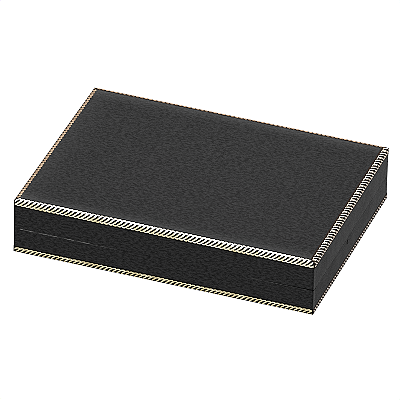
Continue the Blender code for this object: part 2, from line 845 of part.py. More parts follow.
def make_straps():
    fold_y = NECKLACE_PAD.half_depth - STRAP_FROM_EDGE
    stud_y = fold_y - (STRAP_LENGTH - STUD_FROM_TIP)
    for label, side in SIDES:
        x = side * STRAP_OFFSET
        fold_height = pad_face_height(x, fold_y) + SEAT_GAP + STRAP_THICK / 2
        stud_height = pad_face_height(x, stud_y) + SEAT_GAP
        cap_height = stud_height + STUD_DISC_HEIGHT + SEAT_GAP
        strap_height = cap_height + CAP_FLANGE_HEIGHT + SEAT_GAP + STRAP_THICK / 2
        fold = (x, fold_y, fold_height)
        strap_pivot = pivot(f"strap_pivot_{label}", fold)
        bm = extruded(strap_outline(strap_height - fold_height), STRAP_WIDTH)
        round_strap_tip(bm)
        strap = piece(f"strap_{label}", bm, BLACK_VELVET, fold, parent=strap_pivot)
        hole_radius = CAP_SHANK_RADIUS + SEAT_GAP
        hole_bm = rod(hole_radius, STRAP_THICK + 2 * CUT_OVERRUN, STUD_SIDES)
        hole = tool(f"strap_hole_{label}", hole_bm, (x, stud_y, strap_height))
        combine(strap, "DIFFERENCE", hole)
        cap_place = (x, stud_y, cap_height)
        cap = turned(cap_profile(), STUD_SIDES)
        piece(f"strap_cap_{label}", cap, BRASS, cap_place, parent=strap_pivot)
        stud = turned(stud_profile(), STUD_SIDES)
        piece(f"pad_stud_{label}", stud, BRASS, (x, stud_y, stud_height))


def main():
    clear_scene()
    lid = pivot("lid_pivot", (0, BOX_DEPTH / 2, SEAM_HEIGHT))
    base_parts = (make_base_shell(), make_base_side_cover(), make_base_lining())
    lid_parts = (make_lid_shell(lid), make_lid_side_cover(lid), make_lid_lining(lid))
    make_lid_top_cover(lid)
    make_underside_sheet()
    make_rope_edging(lid)
    make_necklace_pad()
    make_lid_cushion(lid)
    make_pull_ribbon()
    for label, side in SIDES:
        make_hinge(label, side * HINGE_OFFSET, base_parts, lid_parts, lid)
    make_straps()


main()
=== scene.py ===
"""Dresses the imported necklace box: leatherette, gold rope edging, satin, velvet and brass.

Metres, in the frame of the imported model: +Z up, the front faces -Y, the origin is at the middle of
the underside. An inset is how far a face lies inside the box's outline, which the edging has.
"""

import math
from dataclasses import dataclass

import bmesh
import bpy
import numpy as np
from mathutils import Matrix, Vector


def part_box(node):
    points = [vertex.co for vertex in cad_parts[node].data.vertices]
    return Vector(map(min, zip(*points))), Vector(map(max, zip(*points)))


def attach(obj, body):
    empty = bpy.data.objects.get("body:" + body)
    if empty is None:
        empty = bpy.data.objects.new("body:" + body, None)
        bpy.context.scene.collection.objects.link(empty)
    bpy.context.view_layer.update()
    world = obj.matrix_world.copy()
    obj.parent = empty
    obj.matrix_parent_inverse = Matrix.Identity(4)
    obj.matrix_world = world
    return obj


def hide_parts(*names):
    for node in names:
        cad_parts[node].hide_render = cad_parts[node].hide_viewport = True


MM = 0.001

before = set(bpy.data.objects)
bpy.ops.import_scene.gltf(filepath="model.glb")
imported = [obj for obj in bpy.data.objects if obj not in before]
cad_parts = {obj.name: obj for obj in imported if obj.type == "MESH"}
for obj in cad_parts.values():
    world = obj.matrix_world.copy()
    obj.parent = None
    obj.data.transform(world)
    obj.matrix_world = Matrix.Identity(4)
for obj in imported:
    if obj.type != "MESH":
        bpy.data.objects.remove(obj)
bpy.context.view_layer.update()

# The box's outline, seam and layers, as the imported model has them
OUTLINE_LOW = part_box("base_rope_left")[0]
OUTLINE_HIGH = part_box("lid_rope_right")[1]
BOX_WIDTH = OUTLINE_HIGH.x - OUTLINE_LOW.x
BOX_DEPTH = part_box("lid_rope_back")[1].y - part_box("lid_rope_front")[0].y
LID_TOP = OUTLINE_HIGH.z
BASE_BOTTOM = OUTLINE_LOW.z
SEAM = (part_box("base_side_cover")[1].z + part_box("lid_side_cover")[0].z) / 2

# Leatherette covers
WRAP_INSET = 0.08 * MM
WRAP_THICK = 0.5 * MM
TURN_IN_INSET = 2.9 * MM
UNDER_REACH = 3.7 * MM
EDGE_RADIUS = 0.4 * MM
RIM_RADIUS = 0.08 * MM
RIM_GAP = 0.08 * MM
RIM_LEAN = 0.08 * MM
CORNER_RADIUS = 0.35 * MM
CORNER_STEPS = 5
ARC_STEPS = 5

# The line beside each corner where the sheets overlap: its section across its width and depth
CREASE_INSET = 0.02 * MM
CREASE_WIDTH = 0.7 * MM
CREASE_DEPTH = 0.26 * MM
CREASE_SHARES = ((0, 0), (0.35, 1), (0.65, 1), (1, 0))

# Where the covers' walls meet
BASE_RIM = SEAM - RIM_GAP / 2
LID_RIM = SEAM + RIM_GAP / 2

# How far the lid's rim rises at the right front corner, and where that starts along the front and
# along the side, measured from the corner
RIM_LIFT = 0.65 * MM
RIM_LIFT_REACH = (34 * MM, 7 * MM)

# A highlight painted in dashes on the base's rim along the front. Each patch of it reaches from one
# place along X to another, and has a strength
RIM_HIGHLIGHT_HEIGHT = 0.33 * MM
RIM_HIGHLIGHT_DEPTH = 0.17 * MM
RIM_HIGHLIGHT_DASH = 5 * MM
RIM_HIGHLIGHT_PATCHES = ((-88 * MM, -44 * MM, 1.0), (-44 * MM, -26 * MM, 0.35), (50 * MM, 89 * MM, 0.3))

# How far the painted highlight at the vertical corners reaches along the front and back, and along the
# sides
CORNER_HIGHLIGHT_REACH = (0.3 * MM, 2.4 * MM)

# Where the lid's top is painted paler towards its back, front and left border, as painted light: the
# axis, where the painted light starts and where it is full, and its strength
PALE_TOP = 1 * MM
PALE_POWER = 2.5
PALE_BACK = 15 * MM
PALE_FRONT = 15.5 * MM
PALE_LEFT = 29 * MM
PAINTED_LIGHT_BORDERS = (
    ("Y", BOX_DEPTH / 2 - PALE_BACK, BOX_DEPTH / 2, 0.37),
    ("Y", PALE_FRONT - BOX_DEPTH / 2, -BOX_DEPTH / 2, 0.54),
    ("X", PALE_LEFT - BOX_WIDTH / 2, -BOX_WIDTH / 2, 0.12),
)

# The nick in the right wall, painted black as the shade inside it: a ball's trace on the wall, less
# that of a second ball, with a floor that rises towards the back by a slope
NICK_PLACE = (OUTLINE_HIGH.x, -6.4 * MM, 13.7 * MM)
NICK_LIT_PLACE = (OUTLINE_HIGH.x, -4.7 * MM, 13.0 * MM)
NICK_RADIUS = 1.5 * MM
NICK_SLOPE = 2.5

# Openings round the hinges
NOTCH_SIDE_GAP = 0.8 * MM
BASE_NOTCH = 2.3 * MM
LID_NOTCH = 1.6 * MM
LEAF_OPENING = 8.3 * MM
CUT_OVERRUN = 1.0 * MM

# Rope edging: a dark tape with raised gold strands, folded over each edge. Heights are measured out
# from the box's outline. A strand's ends start at a share of its height. Under the base it has a
# waist at a share of the tape's width
TAPE_WIDTH = 7.2 * MM
TAPE_MARGIN = 0.3 * MM
TAPE_BACK = -0.07 * MM
TAPE_FACE = -0.02 * MM
STRAND_ROOT = -0.04 * MM
STRAND_CREST = 0.07 * MM
STRAND_PITCH = 2.7 * MM
STRAND_SAMPLES = 26
STRAND_RIBS = 6
STRAND_END_STEPS = 2
STRAND_END_SHARE = 0.25
STRAND_ROUNDNESS = 0.7
WAIST_SHARE = 0.5
WAIST_REACH_SHARE = 0.2
MITRE_GAP = 0.05 * MM
STRAND_END_GAP = 0.8 * MM
LEFT_SLIP = 0.7 * MM

# Necklace pad and lid cushion. The cushion's cloth keeps a share of what it moves sideways
PAD_COLUMNS = 72
PAD_ROWS = 54
PAD_CROWN = 0.8 * MM
PAD_ROLL = 1.6 * MM
PAD_DRAW_IN = 0.8 * MM
CUSHION_CROWN = 2.4 * MM
CUSHION_ROLL = 1.2 * MM
CUSHION_DRAW_IN = 0.5 * MM
ROLL_POWER = 8
STUD_DIMPLE = 0.35 * MM
DIMPLE_RADIUS = 6 * MM
CLOTH_STEP = 4 * MM
CLOTH_START = 0.5 * MM
CLOTH_FRAMES = 20
CLOTH_SHRINK_SHARE = -0.035
CLOTH_PRESSURE = 4
CLOTH_BENDING = 0.2
CLOTH_MASS = 0.15
PUFF_LIMIT = 1.5 * MM
SIDE_GIVE_SHARE = 0.35

# Linings
LINING_THICK = 0.7 * MM
LINING_FACE = 3.9 * MM

# Pull ribbon. Its thickness falls off towards its borders by a share, with a power of the distance
RIBBON_THICK = 0.4 * MM
RIBBON_LIFT = 0.5 * MM
RIBBON_REACH = 14 * MM
RIBBON_STEPS = 24
RIBBON_POWER = 8
RIBBON_THINNING_SHARE = 0.6
RIBBON_ACROSS_SHARES = (-1, -0.96, -0.85, -0.5, 0, 0.5, 0.85, 0.96, 1)

# Necklace straps. At its ends and borders a strap keeps at least the square root of a share of its
# thickness
STRAP_THICK = 1.0 * MM
STRAP_FLAT = 1.5 * MM
STRAP_SLOPE = 3.0 * MM
STRAP_TIP = 3.5 * MM
STRAP_TIP_HALF_WIDTH = 0.1 * MM
STRAP_RINGS = 44
STRAP_POWER = 7
STRAP_END_SHARE = 0.02
STRAP_BORDER_SHARE = 0.05
STRAP_ACROSS_SHARES = (-1, -0.97, -0.9, -0.7, -0.35, 0, 0.35, 0.7, 0.9, 0.97, 1)

# Bevels on the CAD pieces that keep their shape
LEAF_BEVEL = 0.12 * MM
PIN_BEVEL = 0.15 * MM
SPRING_BEVEL = 0.08 * MM

# The angles in degrees from which an edge stays sharp
SHARP_ANGLE = 40
EDGING_SHARP_ANGLE = 60
RIBBON_SHARP_ANGLE = 60
VELVET_SHARP_ANGLE = 70
SATIN_SHARP_ANGLE = 80

# How far apart a wave texture's ridges are at a scale of 1
WAVE_PERIOD = math.pi / 10


# Making pieces


def link(name, data, *materials):
    """An object in the scene, with that mesh, camera or light."""
    obj = bpy.data.objects.new(name, data)
    bpy.context.scene.collection.objects.link(obj)
    for material in materials:
        data.materials.append(material)
    return obj


def shade(mesh, degrees=SHARP_ANGLE):
    mesh.shade_smooth()
    mesh.set_sharp_from_angle(angle=math.radians(degrees))


def mesh_of(name, bm):
    """The mesh that a bmesh holds, with its faces turned outwards."""
    bmesh.ops.recalc_face_normals(bm, faces=bm.faces)
    mesh = bpy.data.meshes.new(name)
    bm.to_mesh(mesh)
    bm.free()
    return mesh


def from_bmesh(name, bm, *materials, degrees=SHARP_ANGLE):
    mesh = mesh_of(name, bm)
    shade(mesh, degrees)
    return link(name, mesh, *materials)


def place(piece, body, slot, *nodes):
    """The piece rides on a body and stands for those nodes. The slot is not used."""
    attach(piece, body)
    if nodes:
        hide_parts(*nodes)
    return piece


def join_loops(bm, loop, other):
    faces = []
    for i in range(len(loop)):
        after = (i + 1) % len(loop)
        faces.append(bm.faces.new((loop[i], loop[after], other[after], other[i])))
    return faces


def loft(rings, closed=False):
    """A mesh through rings of points. It is capped at both ends, or closed into a ring."""
    bm = bmesh.new()
    loops = [[bm.verts.new(point) for point in ring] for ring in rings]
    for loop, other in zip(loops, loops[1:] + loops[:1] if closed else loops[1:]):
        join_loops(bm, loop, other)
    if not closed:
        bm.faces.new(loops[0])
        bm.faces.new(loops[-1])
    return bm


def block(low, high):
    corners = ((low[0], low[1]), (high[0], low[1]), (high[0], high[1]), (low[0], high[1]))
    return loft([[(x, y, z) for x, y in corners] for z in (low[2], high[2])])


def arc(centre, radius, start, end, steps=ARC_STEPS):
    """Points of an arc between two angles, both ends included."""
    angles = [start + (end - start) * i / steps for i in range(steps + 1)]
    return [(centre[0] + radius * math.cos(a), centre[1] + radius * math.sin(a)) for a in angles]


def apply_modifiers(obj):
    """Makes the object's mesh what its modifiers show."""
    depsgraph = bpy.context.evaluated_depsgraph_get()
    mesh = bpy.data.meshes.new_from_object(obj.evaluated_get(depsgraph))
    obj.modifiers.clear()
    obj.data = mesh


def cut(obj, *cutters):
    """Cuts those meshes out of the object."""
    for bm in cutters:
        cutter = from_bmesh("cutter", bm)
        modifier = obj.modifiers.new("cut", "BOOLEAN")
        modifier.operation = "DIFFERENCE"
        modifier.object = cutter
        apply_modifiers(obj)
        bpy.data.objects.remove(cutter)


def box_ring(inset, height, crease=0):
    """The box's outline, drawn in by inset, at that height.

    Crease is how deep the line is beside each corner, where the sheets overlap.
    """
    radius = max(CORNER_RADIUS - inset + WRAP_INSET, RIM_RADIUS)
    reach_x = BOX_WIDTH / 2 - inset - radius
    reach_y = BOX_DEPTH / 2 - inset - radius
    ring = []
    for quarter, (side_x, side_y) in enumerate(((1, 1), (-1, 1), (-1, -1), (1, -1))):
        start = quarter * math.pi / 2
        centre = (side_x * reach_x, side_y * reach_y)
        corner = arc(centre, radius, start, start + math.pi / 2, CORNER_STEPS)
        overlap = [
            (
                side_x * (reach_x - CREASE_INSET - share * CREASE_WIDTH),
                side_y * (reach_y + radius - depth * crease),
            )
            for share, depth in CREASE_SHARES
        ]
        points = corner + overlap if quarter % 2 == 0 else overlap[::-1] + corner
        ring += [(x, y, height) for x, y in points]
    return ring


# Finishes


class Finish:
    """A node material round one Principled shader, in object space."""

    def __init__(self, name, **values):
        self.material = bpy.data.materials.new(name)
        self.material.use_nodes = True
        self.nodes = self.material.node_tree.nodes
        self.shader = self.nodes["Principled BSDF"]
        for socket, value in values.items():
            if isinstance(value, tuple):
                value = (*value, 1)
            self.shader.inputs[socket.replace("_", " ")].default_value = value
        self.place = self.node("TexCoord").outputs["Object"]

    def node(self, kind, **values):
        """A new node of that kind, with those values on its sockets."""
        node = self.nodes.new(f"ShaderNode{kind}")
        for socket, value in values.items():
            node.inputs[socket].default_value = value
        return node

    def wire(self, source, target):
        self.material.node_tree.links.new(source, target)

    def stretched(self, scale):
        """Object space, stretched by a scale for each axis."""
        mapping = self.node("Mapping", Scale=scale)
        self.wire(self.place, mapping.inputs["Vector"])
        return mapping.outputs["Vector"]

    def noise(self, size, stretch=(1, 1, 1), detail=3, roughness=0.5, distortion=0):
        """Noise whose features are about that size."""
        node = self.node("TexNoise", Scale=1, Detail=detail, Roughness=roughness, Distortion=distortion)
        self.wire(self.stretched([factor / size for factor in stretch]), node.inputs["Vector"])
        return node.outputs["Fac"]

    def cells(self, size, stretch=(1, 1, 1)):
        """How far each place is from the border of its cell, for cells of that size."""
        node = self.node("TexVoronoi", Scale=1)
        node.feature = "DISTANCE_TO_EDGE"
        self.wire(self.stretched([factor / size for factor in stretch]), node.inputs["Vector"])
        return node.outputs["Distance"]

    def wave(self, size, direction, distortion=0):
        """Parallel ridges that far apart."""
        node = self.node("TexWave", Scale=1, Distortion=distortion)
        node.bands_direction = direction
        self.wire(self.stretched([WAVE_PERIOD / size] * 3), node.inputs["Vector"])
        return node.outputs["Fac"]

    def spread(self, source, low, high, start=0.3, end=0.7):
        """The source's range from start to end, mapped to low and high."""
        limits = {"From Min": start, "From Max": end, "To Min": low, "To Max": high}
        node = self.node("MapRange", **limits)
        self.wire(source, node.inputs["Value"])
        return node.outputs["Result"]

    def maths(self, operation, first, second):
        node = self.node("Math")
        node.operation = operation
        for socket, value in zip(node.inputs, (first, second)):
            if isinstance(value, (int, float)):
                socket.default_value = value
            else:
                self.wire(value, socket)
        return node.outputs["Value"]

    def mix(self, factor, first, second, blend="MIX"):
        """Two colours mixed by a factor. The first may be what another node gives."""
        node = self.node("Mix")
        node.data_type = "RGBA"
        node.blend_type = blend
        factor_socket, first_socket, second_socket = (node.inputs[index] for index in (0, 6, 7))
        self.wire(factor, factor_socket)
        second_socket.default_value = (*second, 1)
        if isinstance(first, tuple):
            first_socket.default_value = (*first, 1)
        else:
            self.wire(first, first_socket)
        return node.outputs[2]

    def colour(self, factor, first, second):
        self.wire(self.mix(factor, first, second), self.shader.inputs["Base Color"])

    def along(self, axis):
        """The place along an axis."""
        split = self.node("SeparateXYZ")
        self.wire(self.place, split.inputs["Vector"])
        return split.outputs[axis]

    def within(self, axis, low, high):
        """1 between two places along an axis, and 0 elsewhere."""
        place = self.along(axis)
        above, below = self.maths("GREATER_THAN", place, low), self.maths("LESS_THAN", place, high)
        return self.maths("MULTIPLY", above, below)

    def beyond(self, centre, radius):
        """0 within a ball, and 1 elsewhere."""
        away = self.node("VectorMath")
        away.operation = "DISTANCE"
        away.inputs[1].default_value = centre
        self.wire(self.place, away.inputs[0])
        return self.maths("GREATER_THAN", away.outputs["Value"], radius)

    def painted_nick_shade(self):
        """1 in the crescent of a small nick in the base's right wall where its shade is painted, and 0
        elsewhere.
        """
        inside = self.maths("SUBTRACT", 1, self.beyond(NICK_PLACE, NICK_RADIUS))
        return self.maths("MULTIPLY", inside, self.beyond(NICK_LIT_PLACE, NICK_RADIUS))

    def nick_floor(self, painted_nick_shade):
        """How high the nick's floor stands at each place, as it rises towards the back."""
        rise = self.maths("SUBTRACT", self.along("Y"), NICK_PLACE[1])
        return self.maths("MULTIPLY", painted_nick_shade, self.maths("MULTIPLY", rise, NICK_SLOPE))

    def painted_light_borders(self):
        """How much paler the lid's top is painted towards its borders, as painted light."""
        painted_light = 0
        for axis, start, full, strength in PAINTED_LIGHT_BORDERS:
            share = self.spread(self.along(axis), 0, 1, start, full)
            paler = self.maths("MULTIPLY", self.maths("POWER", share, PALE_POWER), strength)
            painted_light = self.maths("ADD", painted_light, paler)
        return self.maths("MULTIPLY", painted_light, self.within("Z", LID_TOP - PALE_TOP, LID_TOP))

    def painted_corner_highlights(self):
        """1 beside the box's four vertical corners, where a highlight is painted, and 0 elsewhere."""
        mask = 1
        for axis, size, reach in zip("XY", (BOX_WIDTH, BOX_DEPTH), CORNER_HIGHLIGHT_REACH):
            away = self.maths("ABSOLUTE", self.along(axis), 0)
            mask = self.maths("MULTIPLY", mask, self.maths("GREATER_THAN", away, size / 2 - reach))
        return mask

    def painted_rim_highlight(self):
        """Where a highlight is painted in dashes on the base's rim, towards both ends of the front."""
        lit_rim = 0
        for low, high, strength in RIM_HIGHLIGHT_PATCHES:
            patch = self.maths("MULTIPLY", self.within("X", low, high), strength)
            lit_rim = self.maths("ADD", lit_rim, patch)
        rim = self.within("Z", SEAM - RIM_HIGHLIGHT_HEIGHT, SEAM)
        face = self.within("Y", -BOX_DEPTH, RIM_HIGHLIGHT_DEPTH - BOX_DEPTH / 2)
        mask = self.maths("MULTIPLY", self.maths("MULTIPLY", rim, face), lit_rim)
        dashes = self.noise(RIM_HIGHLIGHT_DASH, stretch=(1, 0, 0), detail=3, roughness=0.7)
        return self.maths("MULTIPLY", mask, self.spread(dashes, 0.1, 1, start=0.42, end=0.6))

    def roughness(self, source):
        self.wire(source, self.shader.inputs["Roughness"])

    def bump(self, *layers):
        """Layers of (height source, height), each on top of the last."""
        normal = None
        for source, height in layers:
            node = self.node("Bump", Distance=height)
            self.wire(source, node.inputs["Height"])
            if normal:
                self.wire(normal, node.inputs["Normal"])
            normal = node.outputs["Normal"]
        self.wire(normal, self.shader.inputs["Normal"])

    def surface(self, grain, height, smooth, rough, *under):
        """The material, with a grain over the layers under it. The grain sets how rough it is."""
        self.roughness(self.spread(grain, smooth, rough))
        self.bump(*under, (grain, height))
        return self.material


# Each finish starts with how large its features are, how high they stand, and its two colours. A
# size and height without another word are those of its grain


def leatherette():
    """Matt black leatherette: fine pressed cells, with short wrinkles that run along the box."""
    wrinkle_size, wrinkle_height, wrinkle_stretch = 1.0 * MM, 0.12 * MM, (0.40, 0.78, 1.05)
    cell_size, cell_height = 0.42 * MM, 0.02 * MM
    broad_size, broad_strength = 9 * MM, 0.6
    dark, light = (0.0035, 0.0035, 0.0036), (0.0205, 0.0205, 0.021)
    painted_light, corner_highlight, rim_highlight = (0.09, 0.09, 0.09), (0.031, 0.031, 0.031), (0.18, 0.18, 0.176)
    finish = Finish("leatherette", Specular_IOR_Level=0.073)
    wrinkles = finish.noise(wrinkle_size, wrinkle_stretch, detail=5, roughness=0.75, distortion=0.1)
    cells = finish.spread(finish.cells(cell_size, stretch=(0.7, 1, 1)), 0, 1, start=0, end=0.35)
    broad = finish.noise(broad_size, detail=2)
    # The grain's own tone together with painted shade: darker in the wrinkles' hollows, lighter on their
    # crests
    grain = finish.mix(finish.spread(wrinkles, 0, 1, start=0.42, end=0.58), dark, light)
    # Painted light: the lid's top is paler towards its borders
    paler = finish.mix(finish.painted_light_borders(), grain, painted_light, "ADD")
    # Painted highlight along the four vertical corners
    rubbed = finish.mix(finish.painted_corner_highlights(), paler, corner_highlight)
    # Painted highlight in dashes along the base's front rim
    lit_rim = finish.mix(finish.painted_rim_highlight(), rubbed, rim_highlight)
    painted_nick_shade = finish.painted_nick_shade()
    # Painted shade: the nick's crescent is black
    finish.colour(painted_nick_shade, lit_rim, (0, 0, 0))
    uneven = finish.maths("ADD", wrinkles, finish.maths("MULTIPLY", broad, broad_strength))
    finish.roughness(finish.spread(uneven, low=0.50, high=0.66, start=0.5, end=1.1))
    finish.bump((wrinkles, wrinkle_height), (cells, cell_height), (finish.nick_floor(painted_nick_shade), 1))
    return finish.material


def gold_foil(name, dull, bright, smooth=0.22, rough=0.42):
    """Gold foil over the strands, rubbed and uneven from strand to strand."""
    tone_size = 3.1 * MM
    size, height = 0.35 * MM, 0.012 * MM
    finish = Finish(name, Metallic=1.0)
    tone = finish.noise(tone_size, detail=1)
    scuffs = finish.noise(size, detail=4, roughness=0.7)
    finish.colour(finish.spread(tone, 0, 1, start=0.4, end=0.6), dull, bright)
    return finish.surface(scuffs, height, smooth, rough)


def tape_weave(name, dark, light):
    """The woven tape under the strands: matt, and black or brown."""
    size, height = 0.2 * MM, 0.01 * MM
    finish = Finish(name, Specular_IOR_Level=0.05)
    weave = finish.noise(size, detail=2)
    finish.colour(weave, dark, light)
    return finish.surface(weave, height, smooth=0.6, rough=0.8)


def black_velvet():
    """Short-pile velvet: deep black, with a soft sheen and patches where the pile leans."""
    size, height = 0.16 * MM, 0.12 * MM
    lean_size = 22 * MM
    upright, leaning = (0.007, 0.007, 0.008), (0.012, 0.012, 0.0135)
    finish = Finish(
        "black_velvet",
        Specular_IOR_Level=0.15,
        Sheen_Weight=0.35,
        Sheen_Roughness=0.35,
        Sheen_Tint=(0.55, 0.55, 0.6),
    )
    pile = finish.noise(size, detail=3, roughness=0.75)
    lean = finish.noise(lean_size, stretch=(1, 0.6, 1), distortion=0.8)
    finish.colour(finish.spread(lean, 0, 1), upright, leaning)
    return finish.surface(pile, height, smooth=0.85, rough=1)


def white_satin():
    """Ivory satin: fine warp threads, a long soft highlight and faint slubs."""
    thread_size, thread_height = 0.22 * MM, 0.008 * MM
    slub_size, slub_height = 0.5 * MM, 0.03 * MM
    broad_size = 20 * MM
    cream, ivory = (0.85, 0.82, 0.74), (0.92, 0.895, 0.83)
    finish = Finish(
        "white_satin", Specular_IOR_Level=0.6, Sheen_Weight=0.2, Sheen_Roughness=0.3, Anisotropic=0.5
    )
    threads = finish.wave(thread_size, "X", distortion=0.3)
    slubs = finish.noise(slub_size, stretch=(0.12, 2.5, 1))
    broad = finish.noise(broad_size, detail=2)
    finish.colour(finish.spread(broad, 0, 1), cream, ivory)
    smooth, rough = 0.27, 0.4
    return finish.surface(slubs, slub_height, smooth, rough, (threads, thread_height))


def black_ribbon():
    """Grosgrain ribbon: ribs across it, with a silky shine."""
    rib_size, rib_height = 0.45 * MM, 0.06 * MM
    fibre_size, fibre_height = 0.15 * MM, 0.01 * MM
    dark, light = (0.006, 0.006, 0.006), (0.018, 0.018, 0.019)
    finish = Finish("black_ribbon", Specular_IOR_Level=0.5, Sheen_Weight=0.3, Sheen_Roughness=0.4)
    ribs = finish.wave(rib_size, "Y")
    fibres = finish.noise(fibre_size, detail=2)
    finish.colour(fibres, dark, light)
    smooth, rough = 0.35, 0.55
    return finish.surface(fibres, fibre_height, smooth, rough, (ribs, rib_height))


def black_plastic():
    """Moulded polystyrene with a fine spark-eroded texture."""
    size, height = 0.25 * MM, 0.02 * MM
    flow_size = 18 * MM
    dark, light = (0.010, 0.010, 0.011), (0.020, 0.020, 0.021)
    finish = Finish("black_plastic", Specular_IOR_Level=0.4)
    texture = finish.noise(size, detail=3, roughness=0.6)
    flow = finish.noise(flow_size, detail=2)
    finish.colour(flow, dark, light)
    return finish.surface(texture, height, smooth=0.38, rough=0.55)


def brass():
    """Bright brass plate, finely brushed and a little tarnished."""
    size, height = 0.12 * MM, 0.006 * MM
    tarnish_size = 2.5 * MM
    bright, tarnished = (0.86, 0.66, 0.32), (0.70, 0.47, 0.20)
    finish = Finish("brass", Metallic=1.0)
    brushing = finish.noise(size, stretch=(0.08, 1, 1))
    tarnish = finish.noise(tarnish_size, detail=4, roughness=0.65)
    finish.colour(finish.spread(tarnish, 0, 1, start=0.45, end=0.7), bright, tarnished)
    return finish.surface(brushing, height, smooth=0.18, rough=0.36)


def spring_steel():
    """Brushed spring steel."""
    size, height = 0.12 * MM, 0.006 * MM
    dark, light = (0.52, 0.52, 0.54), (0.68, 0.68, 0.69)
    finish = Finish("spring_steel", Metallic=1.0)
    brushing = finish.noise(size, stretch=(1, 1, 0.08))
    finish.colour(brushing, dark, light)
    return finish.surface(brushing, height, smooth=0.2, rough=0.38)


def underside_paper():
    """Black flocked paper under the base, rubbed in places."""
    size, height = 0.3 * MM, 0.05 * MM
    rubbed_size = 30 * MM
    dark, light = (0.009, 0.009, 0.010), (0.024, 0.024, 0.025)
    finish = Finish("underside_paper", Specular_IOR_Level=0.1, Sheen_Weight=0.12)
    flock = finish.noise(size, detail=4, roughness=0.7)
    rubbed = finish.noise(rubbed_size, detail=4)
    finish.colour(finish.spread(rubbed, 0, 1, start=0.45, end=0.75), dark, light)
    return finish.surface(flock, height, smooth=0.8, rough=0.95)


def grey_board():
    """Grey board with flecks of fibre."""
    size, height = 0.7 * MM, 0.02 * MM
    dark, light = (0.33, 0.30, 0.25), (0.48, 0.44, 0.38)
    finish = Finish("grey_board", Specular_IOR_Level=0.3)
    fibre = finish.noise(size, stretch=(0.25, 1, 1), detail=4)
    finish.colour(finish.spread(fibre, 0, 1), dark, light)
    return finish.surface(fibre, height, smooth=0.8, rough=0.95)


LEATHERETTE = leatherette()
# The golds are copies of one foil and the two tapes copies of one tape, lighter or darker as each wall and
# face takes the light: painted light and shade
PALE_GOLD = gold_foil("pale_gold_foil", (0.92, 0.85, 0.69), (0.99, 0.95, 0.89))
TAN_GOLD = gold_foil("tan_gold_foil", (0.46, 0.36, 0.27), (0.70, 0.58, 0.46))
ROSE_GOLD = gold_foil("rose_gold_foil", (0.27, 0.19, 0.125), (0.37, 0.275, 0.195), smooth=0.45, rough=0.65)
CREAM_GOLD = gold_foil("cream_gold_foil", (0.72, 0.63, 0.38), (0.88, 0.81, 0.58))
SOFT_GOLD = gold_foil("soft_gold_foil", (0.66, 0.56, 0.42), (0.86, 0.78, 0.64))
YELLOW_GOLD = gold_foil("yellow_gold_foil", (0.53, 0.46, 0.27), (0.70, 0.64, 0.42))
DIM_GOLD = gold_foil("dim_gold_foil", (0.26, 0.21, 0.17), (0.52, 0.44, 0.37))
BLACK_TAPE = tape_weave("black_tape", (0.001, 0.001, 0.001), (0.003, 0.003, 0.003))
BROWN_TAPE = tape_weave("brown_black_tape", (0.014, 0.008, 0.005), (0.036, 0.021, 0.014))
VELVET = black_velvet()
SATIN = white_satin()
RIBBON = black_ribbon()
PLASTIC = black_plastic()
BRASS = brass()
STEEL = spring_steel()
PAPER = underside_paper()
BOARD = grey_board()


# Leatherette covers


def hinge_cutters(side, reach):
    """Blocks that open the back wall at the hinges, from the seam to reach. Side is 1 for the lid."""
    cutters = []
    for label in ("left", "right"):
        leaf_low, leaf_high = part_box(f"hinge_base_leaf_{label}")
        levels = sorted((SEAM - side * CUT_OVERRUN, SEAM + side * reach))
        inner = BOX_DEPTH / 2 - TURN_IN_INSET - 2 * CUT_OVERRUN
        low = (leaf_low.x - NOTCH_SIDE_GAP, inner, levels[0])
        high = (leaf_high.x + NOTCH_SIDE_GAP, BOX_DEPTH / 2 + CUT_OVERRUN, levels[1])
        cutters.append(block(low, high))
    return cutters


def lean_front_rim(cover):
    """Leans the base's front wall out towards its left end and in towards its right, at the rim."""
    for vert in cover.data.vertices:
        if vert.co.y < WRAP_THICK - BOX_DEPTH / 2 and vert.co.z > SEAM / 2:
            rise_share = (vert.co.z - SEAM / 2) / (SEAM / 2)
            vert.co.y += RIM_LEAN * rise_share * vert.co.x / (BOX_WIDTH / 2)


def lift_rim_corner(bm):
    """Lifts the rim of the lid's walls towards the right front corner, where it doesn't quite close."""
    reach_x, reach_y = RIM_LIFT_REACH
    start = Vector((BOX_WIDTH / 2 - reach_x, reach_y - BOX_DEPTH / 2, 0))
    for normal in ((1, 0, 0), (0, 1, 0)):
        geometry = bm.verts[:] + bm.edges[:] + bm.faces[:]
        bmesh.ops.bisect_plane(bm, geom=geometry, plane_co=start, plane_no=normal)
    for vert in bm.verts:
        x_share = (vert.co.x - start.x) / reach_x
        y_share = (start.y - vert.co.y) / reach_y
        if vert.co.z < LID_RIM + RIM_RADIUS + RIM_GAP:
            vert.co.z += RIM_LIFT * max(x_share, 0) * max(y_share, 0)


def cover_rings(outside, turned_in):
    """Rings of a cover, which shows where its sheets overlap on the outside only."""
    rings = [box_ring(inset, height, CREASE_DEPTH) for inset, height in outside]
    return rings + [box_ring(inset, height) for inset, height in turned_in]


def make_lid_cover():
    """The lid's leatherette: over the top, down the walls and in over the rim."""
    top = LID_TOP - WRAP_INSET
    outer, inner = WRAP_INSET, WRAP_INSET + WRAP_THICK
    fold = arc((outer + EDGE_RADIUS, top - EDGE_RADIUS), EDGE_RADIUS, math.pi / 2, math.pi)
    rim = arc((outer + RIM_RADIUS, LID_RIM + RIM_RADIUS), RIM_RADIUS, math.pi, 3 * math.pi / 2)
    turned_in = [
        (TURN_IN_INSET, LID_RIM),
        (TURN_IN_INSET, LID_RIM + WRAP_THICK),
        (inner, LID_RIM + WRAP_THICK),
        (inner, top - WRAP_THICK),
    ]
    bm = loft(cover_rings(fold + rim, turned_in))
    lift_rim_corner(bm)
    cover = from_bmesh("lid_leatherette", bm, LEATHERETTE)
    cut(cover, *hinge_cutters(1, LID_NOTCH))
    place(cover, "lid", "leatherette", "lid_top_cover", "lid_side_cover")


